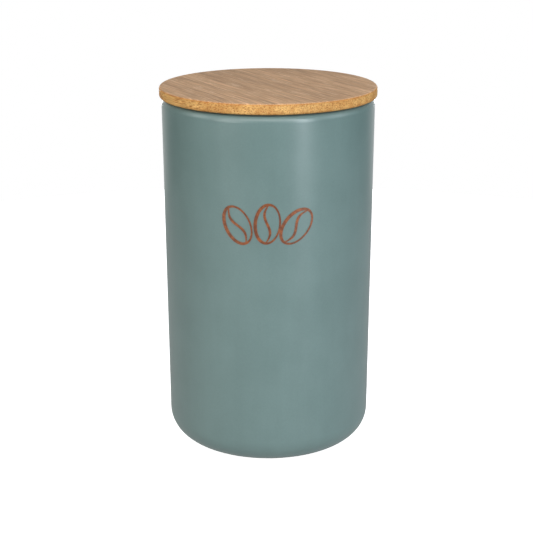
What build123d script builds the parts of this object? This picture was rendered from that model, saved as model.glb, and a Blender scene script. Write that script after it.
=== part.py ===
from build123d import *
import math
import os

# Coffee canister: a glazed stoneware jar with a printed emblem and a bamboo lid that lifts off.
#
# Frame: millimetres, +Z up, origin at the centre of the foot's underside. The emblem is on the
# front of the jar, which is -Y. Every round piece shares the Z axis.
#
# How it is built: the jar is one cast piece. The lid is turned from three plies of bamboo board,
# each ply of strips glued edge to edge, with the grain of the middle ply across the others. The
# top ply is the flat board that covers the rim, and the two lower plies are the plug that enters
# the mouth. A silicone ring with three lips sits in a groove round the plug.

# ---- Driving dimensions -------------------------------------------------------------------------
# Jar
JAR_HEIGHT = 167.8
JAR_TOP_RADIUS = 50.0
JAR_BASE_RADIUS = 49.0
JAR_WALL = 4.8
JAR_FLOOR_TOP = 6.5
BASE_CORNER = 12.5
RIM_OUTER_ROUND = 3.5
RIM_INNER_ROUND = 1.2
INNER_CORNER = 9.0
FOOT_INNER_RADIUS = 31.0
FOOT_RECESS = 1.6
FOOT_BEVEL = 1.2
FOOT_ROUND = 0.8

# Printed emblem: coffee beans in outline
EMBLEM_CENTRE_X = -1.0
EMBLEM_CENTRE_Z = 118.5
INK_THICKNESS = 0.15
BEAN_HALF_LENGTH = 9.5
BEAN_HALF_WIDTH = 6.1
BEAN_THICK_LINE = 1.5
BEAN_THIN_LINE = 0.8
CREASE_SWING = 1.7
CREASE_LINE = 1.3
CREASE_END_SHARE = 0.4
CREASE_STEPS = 8
# (centre X, centre Z, tilt in degrees) of each bean, from the emblem's centre
BEANS = [(-12.9, -0.4, 24.0), (0.4, 0.6, -6.0), (13.3, -0.8, -38.0)]

# Lid
SEAT_GAP = 0.2
BOARD_RADIUS = 51.0
BOARD_THICKNESS = 5.0
BOARD_TOP_ROUND = 1.0
BOARD_LOWER_ROUND = 1.3
PLUG_RADIUS = 43.3
PLUG_PLY = 4.5
PLUG_LOWER_BEVEL = 0.9
GROOVE_DEPTH = 2.9
GROOVE_HEIGHT = 5.0
STRIP_WIDTH = 22.0
STRIP_SHIFT = -2.0
TOP_GRAIN_DEGREES = -60.0
CROSS_GRAIN_DEGREES = TOP_GRAIN_DEGREES + 90.0

# Silicone ring
SEAL_CLEARANCE = 0.05
SEAL_BAND = 1.6
SEAL_LIPS = 3
LIP_CLEARANCE = 0.12
LIP_RISE = 0.4
LIP_ROOT = 0.9
LIP_TIP = 0.4

# ---- Sizes that follow from them ----------------------------------------------------------------
MOUTH_RADIUS = JAR_TOP_RADIUS - JAR_WALL
INNER_BASE_RADIUS = JAR_BASE_RADIUS - JAR_WALL
BOARD_LOW = JAR_HEIGHT + SEAT_GAP
BOARD_TOP = BOARD_LOW + BOARD_THICKNESS
PLY_JOINT = BOARD_LOW - PLUG_PLY
PLUG_LOW = PLY_JOINT - PLUG_PLY
GROOVE_RADIUS = PLUG_RADIUS - GROOVE_DEPTH
GROOVE_TOP = PLY_JOINT + GROOVE_HEIGHT / 2
GROOVE_LOW = PLY_JOINT - GROOVE_HEIGHT / 2


def wall_radius(z):
    """The jar's outer radius at height z, on its drafted wall."""
    return JAR_BASE_RADIUS + (JAR_TOP_RADIUS - JAR_BASE_RADIUS) * z / JAR_HEIGHT


def mouth_radius(z):
    """The jar's inner radius at height z."""
    share = (z - JAR_FLOOR_TOP) / (JAR_HEIGHT - JAR_FLOOR_TOP)
    return INNER_BASE_RADIUS + (MOUTH_RADIUS - INNER_BASE_RADIUS) * share


def half_section(points):
    """A face on the XZ plane from (radius, height) corners."""
    return make_face(Polyline([(r, 0, z) for r, z in points], close=True))


def rounded(face, corners):
    """The face with a round at each (radius, height, round radius) corner."""
    for r, z, size in corners:
        vertex = face.vertices().sort_by_distance((r, 0, z))[0]
        face = fillet(vertex, size)
    return face


def turned(face):
    """The solid that a half section makes round the Z axis."""
    return revolve(face, Axis.Z, 360)


def canister():
    """The jar: drafted wall, rounded base and rim, and a foot ring round a shallow recess."""
    recess_edge = FOOT_INNER_RADIUS - FOOT_BEVEL
    section = half_section(
        [
            (0, FOOT_RECESS),
            (recess_edge, FOOT_RECESS),
            (FOOT_INNER_RADIUS, 0),
            (JAR_BASE_RADIUS, 0),
            (JAR_TOP_RADIUS, JAR_HEIGHT),
            (MOUTH_RADIUS, JAR_HEIGHT),
            (INNER_BASE_RADIUS, JAR_FLOOR_TOP),
            (0, JAR_FLOOR_TOP),
        ]
    )
    section = rounded(
        section,
        [
            (JAR_BASE_RADIUS, 0, BASE_CORNER),
            (JAR_TOP_RADIUS, JAR_HEIGHT, RIM_OUTER_ROUND),
            (MOUTH_RADIUS, JAR_HEIGHT, RIM_INNER_ROUND),
            (INNER_BASE_RADIUS, JAR_FLOOR_TOP, INNER_CORNER),
            (FOOT_INNER_RADIUS, 0, FOOT_ROUND),
        ],
    )
    return turned(section)


def crease():
    """The S-shaped line down a bean, widest at its middle, upright about the origin."""
    left = []
    right = []
    for step in range(CREASE_STEPS + 1):
        share = step / CREASE_STEPS
        along = (2 * share - 1) * (BEAN_HALF_LENGTH - BEAN_THIN_LINE / 2)
        swing = CREASE_SWING * math.sin(2 * math.pi * share)
        swell = CREASE_END_SHARE + (1 - CREASE_END_SHARE) * math.sin(math.pi * share)
        left.append((swing - CREASE_LINE / 2 * swell, along))
        right.append((swing + CREASE_LINE / 2 * swell, along))
    left_edge = Spline(left)
    right_edge = Spline(right)
    ends = [Line(left_edge @ 0, right_edge @ 0), Line(left_edge @ 1, right_edge @ 1)]
    return make_face([left_edge, right_edge] + ends)


def bean(x, z, tilt):
    """One bean in outline: an oval whose line is thick on one side, with its crease."""
    line_mean = (BEAN_THICK_LINE + BEAN_THIN_LINE) / 2
    inner_shift = (BEAN_THICK_LINE - BEAN_THIN_LINE) / 2
    oval = Ellipse(BEAN_HALF_WIDTH, BEAN_HALF_LENGTH)
    inner = Ellipse(BEAN_HALF_WIDTH - line_mean, BEAN_HALF_LENGTH - line_mean)
    outline = oval - Pos(inner_shift, 0) * inner
    mark = outline + (crease() & oval)
    place = Pos(EMBLEM_CENTRE_X + x, EMBLEM_CENTRE_Z + z) * Rot(0, 0, tilt)
    return place * mark


def printed_emblem():
    """The ink: a thin skin on the drafted wall, where the beans are."""
    low = EMBLEM_CENTRE_Z - 2 * BEAN_HALF_LENGTH
    high = EMBLEM_CENTRE_Z + 2 * BEAN_HALF_LENGTH
    skin = turned(
        half_section(
            [
                (wall_radius(low), low),
                (wall_radius(low) + INK_THICKNESS, low),
                (wall_radius(high) + INK_THICKNESS, high),
                (wall_radius(high), high),
            ]
        )
    )
    marks = []
    for x, z, tilt in BEANS:
        face = Plane.XZ * bean(x, z, tilt)
        stamp = extrude(face, JAR_TOP_RADIUS + INK_THICKNESS + 1, dir=(0, -1, 0))
        marks += (stamp & skin).solids()
    return Compound(children=marks)


def board():
    """The lid's top ply before it is cut into strips: a flat disc with rounded edges."""
    section = half_section(
        [(0, BOARD_LOW), (BOARD_RADIUS, BOARD_LOW), (BOARD_RADIUS, BOARD_TOP), (0, BOARD_TOP)]
    )
    corners = [
        (BOARD_RADIUS, BOARD_LOW, BOARD_LOWER_ROUND),
        (BOARD_RADIUS, BOARD_TOP, BOARD_TOP_ROUND),
    ]
    return turned(rounded(section, corners))


def upper_plug():
    """The lid's middle ply: it steps in at the top of the seal's groove."""
    return turned(
        half_section(
            [
                (0, PLY_JOINT),
                (GROOVE_RADIUS, PLY_JOINT),
                (GROOVE_RADIUS, GROOVE_TOP),
                (PLUG_RADIUS, GROOVE_TOP),
                (PLUG_RADIUS, BOARD_LOW),
                (0, BOARD_LOW),
            ]
        )
    )


def lower_plug():
    """The lid's lowest ply: it holds the seal up and is bevelled to lead into the mouth."""
    return turned(
        half_section(
            [
                (0, PLUG_LOW),
                (PLUG_RADIUS - PLUG_LOWER_BEVEL, PLUG_LOW),
                (PLUG_RADIUS, PLUG_LOW + PLUG_LOWER_BEVEL),
                (PLUG_RADIUS, GROOVE_LOW),
                (GROOVE_RADIUS, GROOVE_LOW),
                (GROOVE_RADIUS, PLY_JOINT),
                (0, PLY_JOINT),
            ]
        )
    )


def strips(ply, grain_degrees):
    """The strips that a round ply is glued up from, side by side across its grain."""
    box = ply.bounding_box()
    length = 2 * box.size.X
    depth = 2 * box.size.Z
    count = math.ceil((box.size.X + 2 * abs(STRIP_SHIFT)) / STRIP_WIDTH)
    first = STRIP_SHIFT - count * STRIP_WIDTH / 2
    cut = []
    for i in range(count):
        middle = first + (i + 0.5) * STRIP_WIDTH
        saw = Pos(0, middle, box.center().Z) * Box(length, STRIP_WIDTH, depth)
        cut += (ply & (Rot(0, 0, grain_degrees) * saw)).solids()
    return cut


def seal_ring():
    """The silicone ring: a band in the groove, with upswept lips that wipe the mouth's wall."""
    band_inner = GROOVE_RADIUS + SEAL_CLEARANCE
    band_outer = band_inner + SEAL_BAND
    low = GROOVE_LOW + 2 * SEAL_CLEARANCE
    high = GROOVE_TOP - 2 * SEAL_CLEARANCE
    pitch = (high - low) / SEAL_LIPS
    points = [(band_inner, low), (band_outer, low)]
    for i in range(SEAL_LIPS):
        root = low + (i + 0.5) * pitch
        tip = root + LIP_RISE
        tip_low = tip - LIP_TIP / 2
        tip_radius = mouth_radius(tip_low) - LIP_CLEARANCE
        points += [
            (band_outer, root - LIP_ROOT / 2),
            (tip_radius, tip_low),
            (tip_radius, tip + LIP_TIP / 2),
            (band_outer, root + LIP_ROOT / 2),
        ]
    points += [(band_outer, high), (band_inner, high)]
    return turned(half_section(points))


def build():
    """Every piece of the canister by name."""
    pieces = {
        "canister": canister(),
        "printed_emblem": printed_emblem(),
        "seal_ring": seal_ring(),
    }
    plies = {
        "board_strip": (board(), TOP_GRAIN_DEGREES),
        "upper_plug_strip": (upper_plug(), CROSS_GRAIN_DEGREES),
        "lower_plug_strip": (lower_plug(), TOP_GRAIN_DEGREES),
    }
    for name, (ply, grain) in plies.items():
        for number, strip in enumerate(strips(ply, grain), start=1):
            pieces[f"{name}_{number}"] = strip
    return pieces


os.makedirs("parts", exist_ok=True)
for name, piece in build().items():
    export_step(piece, f"parts/{name}.step")
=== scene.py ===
"""Looks for the coffee canister: a satin glazed jar with a copper-brown print and a bamboo lid.

Every CAD node keeps its shape and gets a procedural material here. All patterns are worked out in
millimetres in the row frame, +Z up, with the print on the -Y side. Lights and floor are in metres.
"""

import math
from types import SimpleNamespace

import bpy
from mathutils import Matrix, Vector


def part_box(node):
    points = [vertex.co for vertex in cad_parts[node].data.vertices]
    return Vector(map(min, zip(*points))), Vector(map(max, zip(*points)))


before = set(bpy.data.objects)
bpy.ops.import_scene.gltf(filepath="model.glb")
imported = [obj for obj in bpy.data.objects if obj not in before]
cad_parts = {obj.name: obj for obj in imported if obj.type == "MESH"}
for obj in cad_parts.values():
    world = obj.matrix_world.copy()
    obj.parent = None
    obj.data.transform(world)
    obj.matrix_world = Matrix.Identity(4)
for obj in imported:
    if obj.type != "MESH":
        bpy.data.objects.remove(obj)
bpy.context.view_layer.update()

MM = 0.001

# The lid's board, in millimetres and degrees
BOARD_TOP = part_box("board_strip_3")[1][2] / MM
BOARD_TOP_ROUND = 1.0
TOP_GRAIN_DEGREES = -60.0
CROSS_GRAIN_DEGREES = TOP_GRAIN_DEGREES + 90.0

# How the grain wanders from side to side, in millimetres
GRAIN_SWAY = 1.0

# Each strip of a ply reads its pattern from another place, this many millimetres from the last
PATTERN_STEP = 100.0

# How much light each strip of a ply reflects, against the lightest
STRIP_TONES = (0.97, 1.0, 0.94, 1.0, 0.96)

# Where the glaze ends on the foot, in millimetres: its height, how far it wanders, how soft it is
GLAZE_LINE = 0.45
GLAZE_LINE_WANDER = 0.25
GLAZE_LINE_BLUR = 0.12

# Light colours
WHITE = (1.0, 1.0, 1.0)
COOL = (0.88, 0.94, 1.0)
WARM = (1.0, 0.98, 0.94)

# Floor, in metres
FLOOR_RADIUS = 0.5
FLOOR_SIDES = 96

# Camera: its place, lens and sensor in millimetres, how far it looks down, and its roll in radians
CAMERA_PLACE = (-0.97, -605.20, 273.77)
CAMERA_LENS = 87.79
CAMERA_SENSOR = 36.0
CAMERA_DOWN_DEGREES = 17.423
CAMERA_ROLL = -0.00193


# ---- Small helpers for node trees ---------------------------------------------------------------
class Tree:
    """The node tree of a material or a world, with short calls that return output sockets."""

    def __init__(self, owner):
        self.owner = owner
        owner.use_nodes = True
        self.tree = owner.node_tree
        self.tree.nodes.clear()

    def add(self, kind, inputs=(), **settings):
        """A new node: inputs are (name or index, value or socket) pairs."""
        node = self.tree.nodes.new("ShaderNode" + kind)
        for key, value in settings.items():
            setattr(node, key, value)
        for key, value in inputs:
            if isinstance(value, bpy.types.NodeSocket):
                self.tree.links.new(value, node.inputs[key])
            else:
                node.inputs[key].default_value = value
        return node

    def math(self, operation, a, b):
        """The result of a Math node."""
        return self.add("Math", [(0, a), (1, b)], operation=operation).outputs[0]

    def scaled(self, vector, factors):
        """The vector with each axis multiplied by its factor."""
        pairs = [(0, vector), (1, factors)]
        return self.add("VectorMath", pairs, operation="MULTIPLY").outputs[0]

    def moved(self, vector, offset):
        """The vector with the offset added."""
        pairs = [(0, vector), (1, offset)]
        return self.add("VectorMath", pairs, operation="ADD").outputs[0]

    def noise(self, vector, scale, detail=2.0, roughness=0.5):
        """Soft noise from 0 to 1, with scale waves for each unit of the vector."""
        pairs = [("Vector", vector), ("Scale", scale), ("Detail", detail), ("Roughness", roughness)]
        return self.add("TexNoise", pairs).outputs["Fac"]

    def step(self, value, low, high):
        """0 below low, 1 above high, smooth between."""
        pairs = [("Value", value), ("From Min", low), ("From Max", high)]
        return self.add("MapRange", pairs, interpolation_type="SMOOTHSTEP").outputs[0]

    def spread(self, value, low, high):
        """A 0 to 1 value spread over low to high."""
        pairs = [("Value", value), ("To Min", low), ("To Max", high)]
        return self.add("MapRange", pairs).outputs[0]

    def mix(self, share, a, b, blend="MIX"):
        """The colour a where share is 0 and b where it is 1. The Mix node's colours are inputs 6 and 7."""
        pairs = [(0, share), (6, a), (7, b)]
        return self.add("Mix", pairs, data_type="RGBA", blend_type=blend).outputs[2]

    def toward(self, colour, other, value, strength):
        """The colour moved towards another by a 0 to 1 value, by up to strength."""
        return self.mix(self.math("MULTIPLY", value, strength), colour, other)

    def tinted(self, colour, value, strength):
        """The colour brightened or darkened by a 0 to 1 value, by up to strength each way."""
        gain = self.spread(value, 1.0 - strength, 1.0 + strength)
        grey = self.add("CombineXYZ", [(0, gain), (1, gain), (2, gain)]).outputs[0]
        return self.mix(1.0, colour, grey, "MULTIPLY")

    def place(self):
        """The surface point in the row frame, in millimetres."""
        coords = self.add("TexCoord").outputs["Object"]
        return self.scaled(coords, (1 / MM, 1 / MM, 1 / MM))

    def axes(self, vector):
        """The vector's X, Y and Z."""
        node = self.add("SeparateXYZ", [(0, vector)])
        return node.outputs[0], node.outputs[1], node.outputs[2]

    def turned(self, vector, degrees):
        """The vector in axes turned by that angle, so that X runs along it."""
        pairs = [("Vector", vector), ("Angle", -math.radians(degrees))]
        return self.add("VectorRotate", pairs, rotation_type="Z_AXIS").outputs[0]

    def bump(self, height, depth_mm, normal=None):
        """A bump of this depth for a height of 0 to 1, on top of another bump if one is given."""
        pairs = [("Height", height), ("Distance", depth_mm * MM), ("Strength", 1.0)]
        if normal is not None:
            pairs.append(("Normal", normal))
        return self.add("Bump", pairs).outputs[0]

    def finish(self, colour, roughness, normal=None, **others):
        """A Principled surface. Other inputs are named with _ for each space."""
        pairs = [("Base Color", colour), ("Roughness", roughness)]
        if normal is not None:
            pairs.append(("Normal", normal))
        pairs += [(key.replace("_", " "), value) for key, value in others.items()]
        shader = self.add("BsdfPrincipled", pairs)
        self.add("OutputMaterial", [("Surface", shader.outputs[0])])
        return self.owner


def material_tree(name):
    """The tree of a new material."""
    return Tree(bpy.data.materials.new(name))


def rgb(red, green, blue):
    """A linear colour from 0 to 255 display values, by the sRGB curve."""
    linear = []
    for value in (red, green, blue):
        share = value / 255
        linear.append(share / 12.92 if share <= 0.04045 else ((share + 0.055) / 1.055) ** 2.4)
    return (*linear, 1.0)


# ---- Jar, print and ring ------------------------------------------------------------------------
def bare_foot(t, place):
    """1 where the foot is bare clay, 0 where it is glazed, with a ragged line between."""
    height = t.axes(place)[2]
    wander = t.spread(t.noise(place, scale=0.5), -GLAZE_LINE_WANDER, GLAZE_LINE_WANDER)
    ragged = t.math("ADD", height, wander)
    glazed = t.step(ragged, GLAZE_LINE - GLAZE_LINE_BLUR, GLAZE_LINE + GLAZE_LINE_BLUR)
    return t.math("SUBTRACT", 1.0, glazed)


def glaze():
    """Satin grey-green glaze with soft mottling, and bare clay under the foot."""
    green = rgb(95, 116, 114)
    pale_green = rgb(99, 120, 118)
    clay = rgb(206, 194, 176)
    clay_roughness = 0.85

    t = material_tree("glaze")
    place = t.place()
    clouds = t.noise(place, scale=0.045, detail=3.0, roughness=0.55)
    runs = t.noise(t.scaled(place, (1.0, 1.0, 0.18)), scale=0.16)
    speckle = t.noise(place, scale=1.1, detail=3.0, roughness=0.6)
    colour = t.mix(t.step(clouds, 0.3, 0.7), green, pale_green)
    colour = t.tinted(colour, runs, strength=0.05)
    colour = t.tinted(colour, speckle, strength=0.07)

    bare = bare_foot(t, place)
    grit = t.noise(place, scale=2.4, detail=4.0, roughness=0.7)
    colour = t.mix(bare, colour, t.tinted(clay, grit, strength=0.14))

    satin = t.spread(clouds, 0.28, 0.36)
    roughness = t.math("MAXIMUM", satin, t.math("MULTIPLY", bare, clay_roughness))
    ripple = t.bump(t.noise(place, scale=0.07, detail=1.0), depth_mm=0.10)
    skin = t.bump(t.noise(place, scale=0.9), depth_mm=0.010, normal=ripple)
    return t.finish(colour, roughness, skin, Specular_IOR_Level=0.5)


def ink():
    """Copper-brown overglaze print, a little uneven in density."""
    brown = rgb(98, 54, 32)
    copper = rgb(136, 76, 40)

    t = material_tree("print_ink")
    place = t.place()
    patches = t.noise(place, scale=0.55, detail=3.0, roughness=0.6)
    colour = t.mix(t.step(patches, 0.35, 0.68), brown, copper)
    colour = t.tinted(colour, t.noise(place, scale=4.0), strength=0.12)
    roughness = t.spread(patches, 0.38, 0.52)
    return t.finish(colour, roughness, t.bump(t.noise(place, scale=2.2), depth_mm=0.012))


def silicone():
    """Off-white silicone with a little light inside it."""
    dull_white = rgb(226, 224, 216)
    clear_white = rgb(236, 235, 230)

    t = material_tree("silicone")
    place = t.place()
    haze = t.noise(place, scale=0.12, detail=3.0)
    colour = t.mix(t.step(haze, 0.3, 0.7), dull_white, clear_white)
    roughness = t.spread(t.noise(place, scale=0.8), 0.42, 0.54)
    skin = t.bump(t.noise(place, scale=1.6), depth_mm=0.01)
    return t.finish(colour, roughness, skin, Subsurface_Weight=0.12, Subsurface_Scale=0.004)


# ---- Bamboo -------------------------------------------------------------------------------------
def grain_axes(t, grain_degrees, shift):
    """The surface point moved up by shift, with X along the grain and a slight sway across it."""
    along = t.turned(t.moved(t.place(), (0.0, 0.0, shift)), grain_degrees)
    wander = grain_noise(t, along, lengthwise=0.02, across=0.10, detail=2.0)
    sway = t.add("CombineXYZ", [(1, t.spread(wander, -GRAIN_SWAY, GRAIN_SWAY))]).outputs[0]
    return t.moved(along, sway)


def grain_noise(t, along, lengthwise, across, detail=3.0, roughness=0.5):
    """Noise drawn out along the grain. Both scales are in waves for each millimetre."""
    return t.noise(t.scaled(along, (lengthwise, across, across)), 1.0, detail, roughness)


def fibre_bundles(t, along):
    """1 in the middle of a fibre bundle, 0 between bundles. They show as dots where they end."""
    cells_per_mm = (0.05, 1.45, 1.45)
    pairs = [("Vector", t.scaled(along, cells_per_mm)), ("Scale", 1.0), ("Randomness", 0.9)]
    distance = t.add("TexVoronoi", pairs).outputs["Distance"]
    return t.math("SUBTRACT", 1.0, t.step(distance, 0.20, 0.55))


def grain_patterns(t, grain_degrees, shift):
    """The point along the grain, and the patterns there, each from 0 to 1, the broadest first."""
    along = grain_axes(t, grain_degrees, shift)
    return SimpleNamespace(
        along=along,
        broad=grain_noise(t, along, lengthwise=0.012, across=0.30, roughness=0.55),
        streaks=grain_noise(t, along, lengthwise=0.035, across=1.6, roughness=0.65),
        hairs=grain_noise(t, along, lengthwise=0.07, across=2.8, detail=2.0, roughness=0.6),
        bundles=fibre_bundles(t, along),
    )


def cut_wood(t, grain):
    """Golden bamboo as it is sawn and turned, on the board's edge and on the plug."""
    gold = rgb(180, 132, 73)
    pale_gold = rgb(202, 160, 97)
    bundle_brown = rgb(146, 90, 42)

    colour = t.mix(t.step(grain.broad, 0.32, 0.68), gold, pale_gold)
    colour = t.toward(colour, bundle_brown, grain.bundles, strength=0.80)
    colour = t.tinted(colour, grain.hairs, strength=0.55)
    return t.tinted(colour, grain.streaks, strength=0.35)


def top_wood_and_painted_shade(t, grain):
    """The board's top face, browner than the edge, with pale flecks. The brown is partly the wood's own
    colour and partly painted shade.
    """
    # The top face's brown, darker than the edge's gold, is partly the wood's own colour and partly painted
    # shade
    brown = rgb(188, 150, 115)
    pale_brown = rgb(209, 169, 131)
    fleck_cream = rgb(240, 208, 174)
    bundle_brown = rgb(126, 88, 62)

    colour = t.mix(t.step(grain.broad, 0.30, 0.70), brown, pale_brown)
    spots = grain_noise(t, grain.along, lengthwise=0.07, across=1.1, roughness=0.7)
    colour = t.toward(colour, fleck_cream, t.step(spots, 0.54, 0.66), strength=0.55)
    colour = t.toward(colour, bundle_brown, grain.bundles, strength=0.30)
    colour = t.tinted(colour, grain.streaks, strength=0.65)
    return t.tinted(colour, grain.hairs, strength=0.45)


def board_wood(t, grain):
    """Top face and edge, with an amber line where they meet, on the board's upper round."""
    amber = rgb(176, 112, 54)
    height = t.axes(t.place())[2]
    face = t.step(height, BOARD_TOP - 0.45 * BOARD_TOP_ROUND, BOARD_TOP - 0.15 * BOARD_TOP_ROUND)
    line = t.step(height, BOARD_TOP - 1.1 * BOARD_TOP_ROUND, BOARD_TOP - 0.6 * BOARD_TOP_ROUND)
    edge = t.toward(cut_wood(t, grain), amber, line, strength=0.45)
    # The top face mixed in here is partly painted shade, darker than the edge
    return t.mix(face, edge, top_wood_and_painted_shade(t, grain))


def bamboo(name, wood, grain_degrees, shift, tone):
    """One strip of laminated bamboo, coloured by a function such as cut_wood."""
    t = material_tree(name)
    grain = grain_patterns(t, grain_degrees, shift)
    colour = t.mix(1.0, wood(t, grain), (tone, tone, tone, 1.0), "MULTIPLY")
    roughness = t.spread(grain.streaks, 0.62, 0.78)
    relief = t.math("ADD", grain.hairs, t.math("MULTIPLY", grain.bundles, -0.6))
    return t.finish(colour, roughness, t.bump(relief, depth_mm=0.03), Specular_IOR_Level=0.25)


# ---- Dressing the CAD nodes ---------------------------------------------------------------------
def dress(node, material):
    """Gives a CAD node its material."""
    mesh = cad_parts[node].data
    mesh.materials.clear()
    mesh.materials.append(material)


def dress_lid():
    """Each strip has a material of its own, because no two strips of bamboo are alike."""
    # Each ply's wood, its grain, and the pattern step just before its first strip's
    plies = {
        "board_strip": (board_wood, TOP_GRAIN_DEGREES, 11),
        "upper_plug_strip": (cut_wood, CROSS_GRAIN_DEGREES, 16),
        "lower_plug_strip": (cut_wood, TOP_GRAIN_DEGREES, 16),
    }
    for ply, (wood, grain_degrees, step_before) in plies.items():
        for number, tone in enumerate(STRIP_TONES, start=1):
            node = f"{ply}_{number}"
            shift = PATTERN_STEP * (step_before + number)
            dress(node, bamboo(f"bamboo_{node}", wood, grain_degrees, shift, tone))


# ---- Stage --------------------------------------------------------------------------------------
def floor_paint():
    """Pure white to the camera, and a greyer, dimmer table to the jar."""
    grey = rgb(155, 155, 155)
    near_white = rgb(247, 247, 247)
    glow_on_jar = 0.27
    glow_in_view = 0.9

    t = material_tree("floor_paint")
    seen = t.add("LightPath").outputs["Is Camera Ray"]
    paint = t.mix(seen, grey, near_white)
    glow = t.spread(seen, glow_on_jar, glow_in_view)
    return t.finish(
        paint, 0.9, Specular_IOR_Level=0.1, Emission_Color=(*WHITE, 1.0), Emission_Strength=glow
    )


def floor():
    """A pale round table top."""
    angles = [2 * math.pi * i / FLOOR_SIDES for i in range(FLOOR_SIDES)]
    corners = [(FLOOR_RADIUS * math.cos(a), FLOOR_RADIUS * math.sin(a), 0.0) for a in angles]
    mesh = bpy.data.meshes.new("floor")
    mesh.from_pydata(corners, [], [range(FLOOR_SIDES)])
    mesh.materials.append(floor_paint())
    made = bpy.data.objects.new("floor", mesh)
    bpy.context.collection.objects.link(made)


def softbox(name, azimuth, elevation, distance, size, power, colour, aim_height):
    """A rectangular light that looks at the jar's axis. Azimuth 0 is the camera's side, 90 is +X."""
    a = math.radians(azimuth)
    e = math.radians(elevation)
    outward = Vector((math.sin(a) * math.cos(e), -math.cos(a) * math.cos(e), math.sin(e)))
    light = bpy.data.lights.new(name, "AREA")
    light.shape = "RECTANGLE"
    light.size, light.size_y = size
    light.energy = power
    light.color = colour
    made = bpy.data.objects.new(name, light)
    made.location = Vector((0.0, 0.0, aim_height)) + outward * distance
    made.rotation_euler = (-outward).to_track_quat("-Z", "Y").to_euler()
    made.visible_camera = False
    bpy.context.collection.objects.link(made)


def surroundings():
    """A room that is bright behind the jar and dark elsewhere, but plain white to the camera."""
    backdrop_strength = 0.92

    t = Tree(bpy.data.worlds.new("studio"))
    bpy.context.scene.world = t.owner
    direction = t.add("TexCoord").outputs["Generated"]
    backward = t.axes(direction)[1]
    backdrop = t.math("MULTIPLY", t.step(backward, 0.55, 0.95), backdrop_strength)
    seen = t.add("LightPath").outputs["Is Camera Ray"]
    strength = t.math("MAXIMUM", backdrop, seen)
    background = t.add("Background", [("Color", (*WHITE, 1.0)), ("Strength", strength)])
    t.add("OutputWorld", [("Surface", background.outputs[0])])


def lights():
    """A tall key to the camera's right, a wide box above, one low on the left, one on each side and
    a low one behind, which keeps the jar's back from going dark."""
    # Azimuth and elevation in degrees, distance, (width, height), watts, colour
    softbox("key", 36.5, 12.0, 1.1, (0.18, 0.80), 7.6, COOL, aim_height=0.12)
    softbox("high", -4.0, 36.0, 0.8, (1.30, 0.22), 6.2, WHITE, aim_height=0.15)
    softbox("left", -40.0, 6.0, 1.1, (0.50, 0.30), 3.4, WARM, aim_height=0.15)
    softbox("side_left", -80.0, 26.0, 1.0, (0.40, 0.50), 2.3, WARM, aim_height=0.10)
    softbox("behind", 180.0, 0.0, 0.9, (0.60, 0.14), 3.5, WHITE, aim_height=0.08)
    softbox("side_right", 80.0, 26.0, 1.0, (0.40, 0.50), 2.2, COOL, aim_height=0.10)


def camera():
    """The camera looks along +Y and down at the jar."""
    data = bpy.data.cameras.new("camera")
    data.sensor_width = CAMERA_SENSOR
    data.lens = CAMERA_LENS
    made = bpy.data.objects.new("camera", data)
    place = Matrix.Translation(Vector(CAMERA_PLACE) * MM)
    tilt = Matrix.Rotation(math.radians(90 - CAMERA_DOWN_DEGREES), 4, "X")
    made.matrix_world = place @ tilt @ Matrix.Rotation(CAMERA_ROLL, 4, "Z")
    bpy.context.collection.objects.link(made)
    bpy.context.scene.camera = made


bpy.context.scene.view_settings.view_transform = "Standard"
camera()
floor()
surroundings()
lights()
dress("canister", glaze())
dress("printed_emblem", ink())
dress("seal_ring", silicone())
dress_lid()
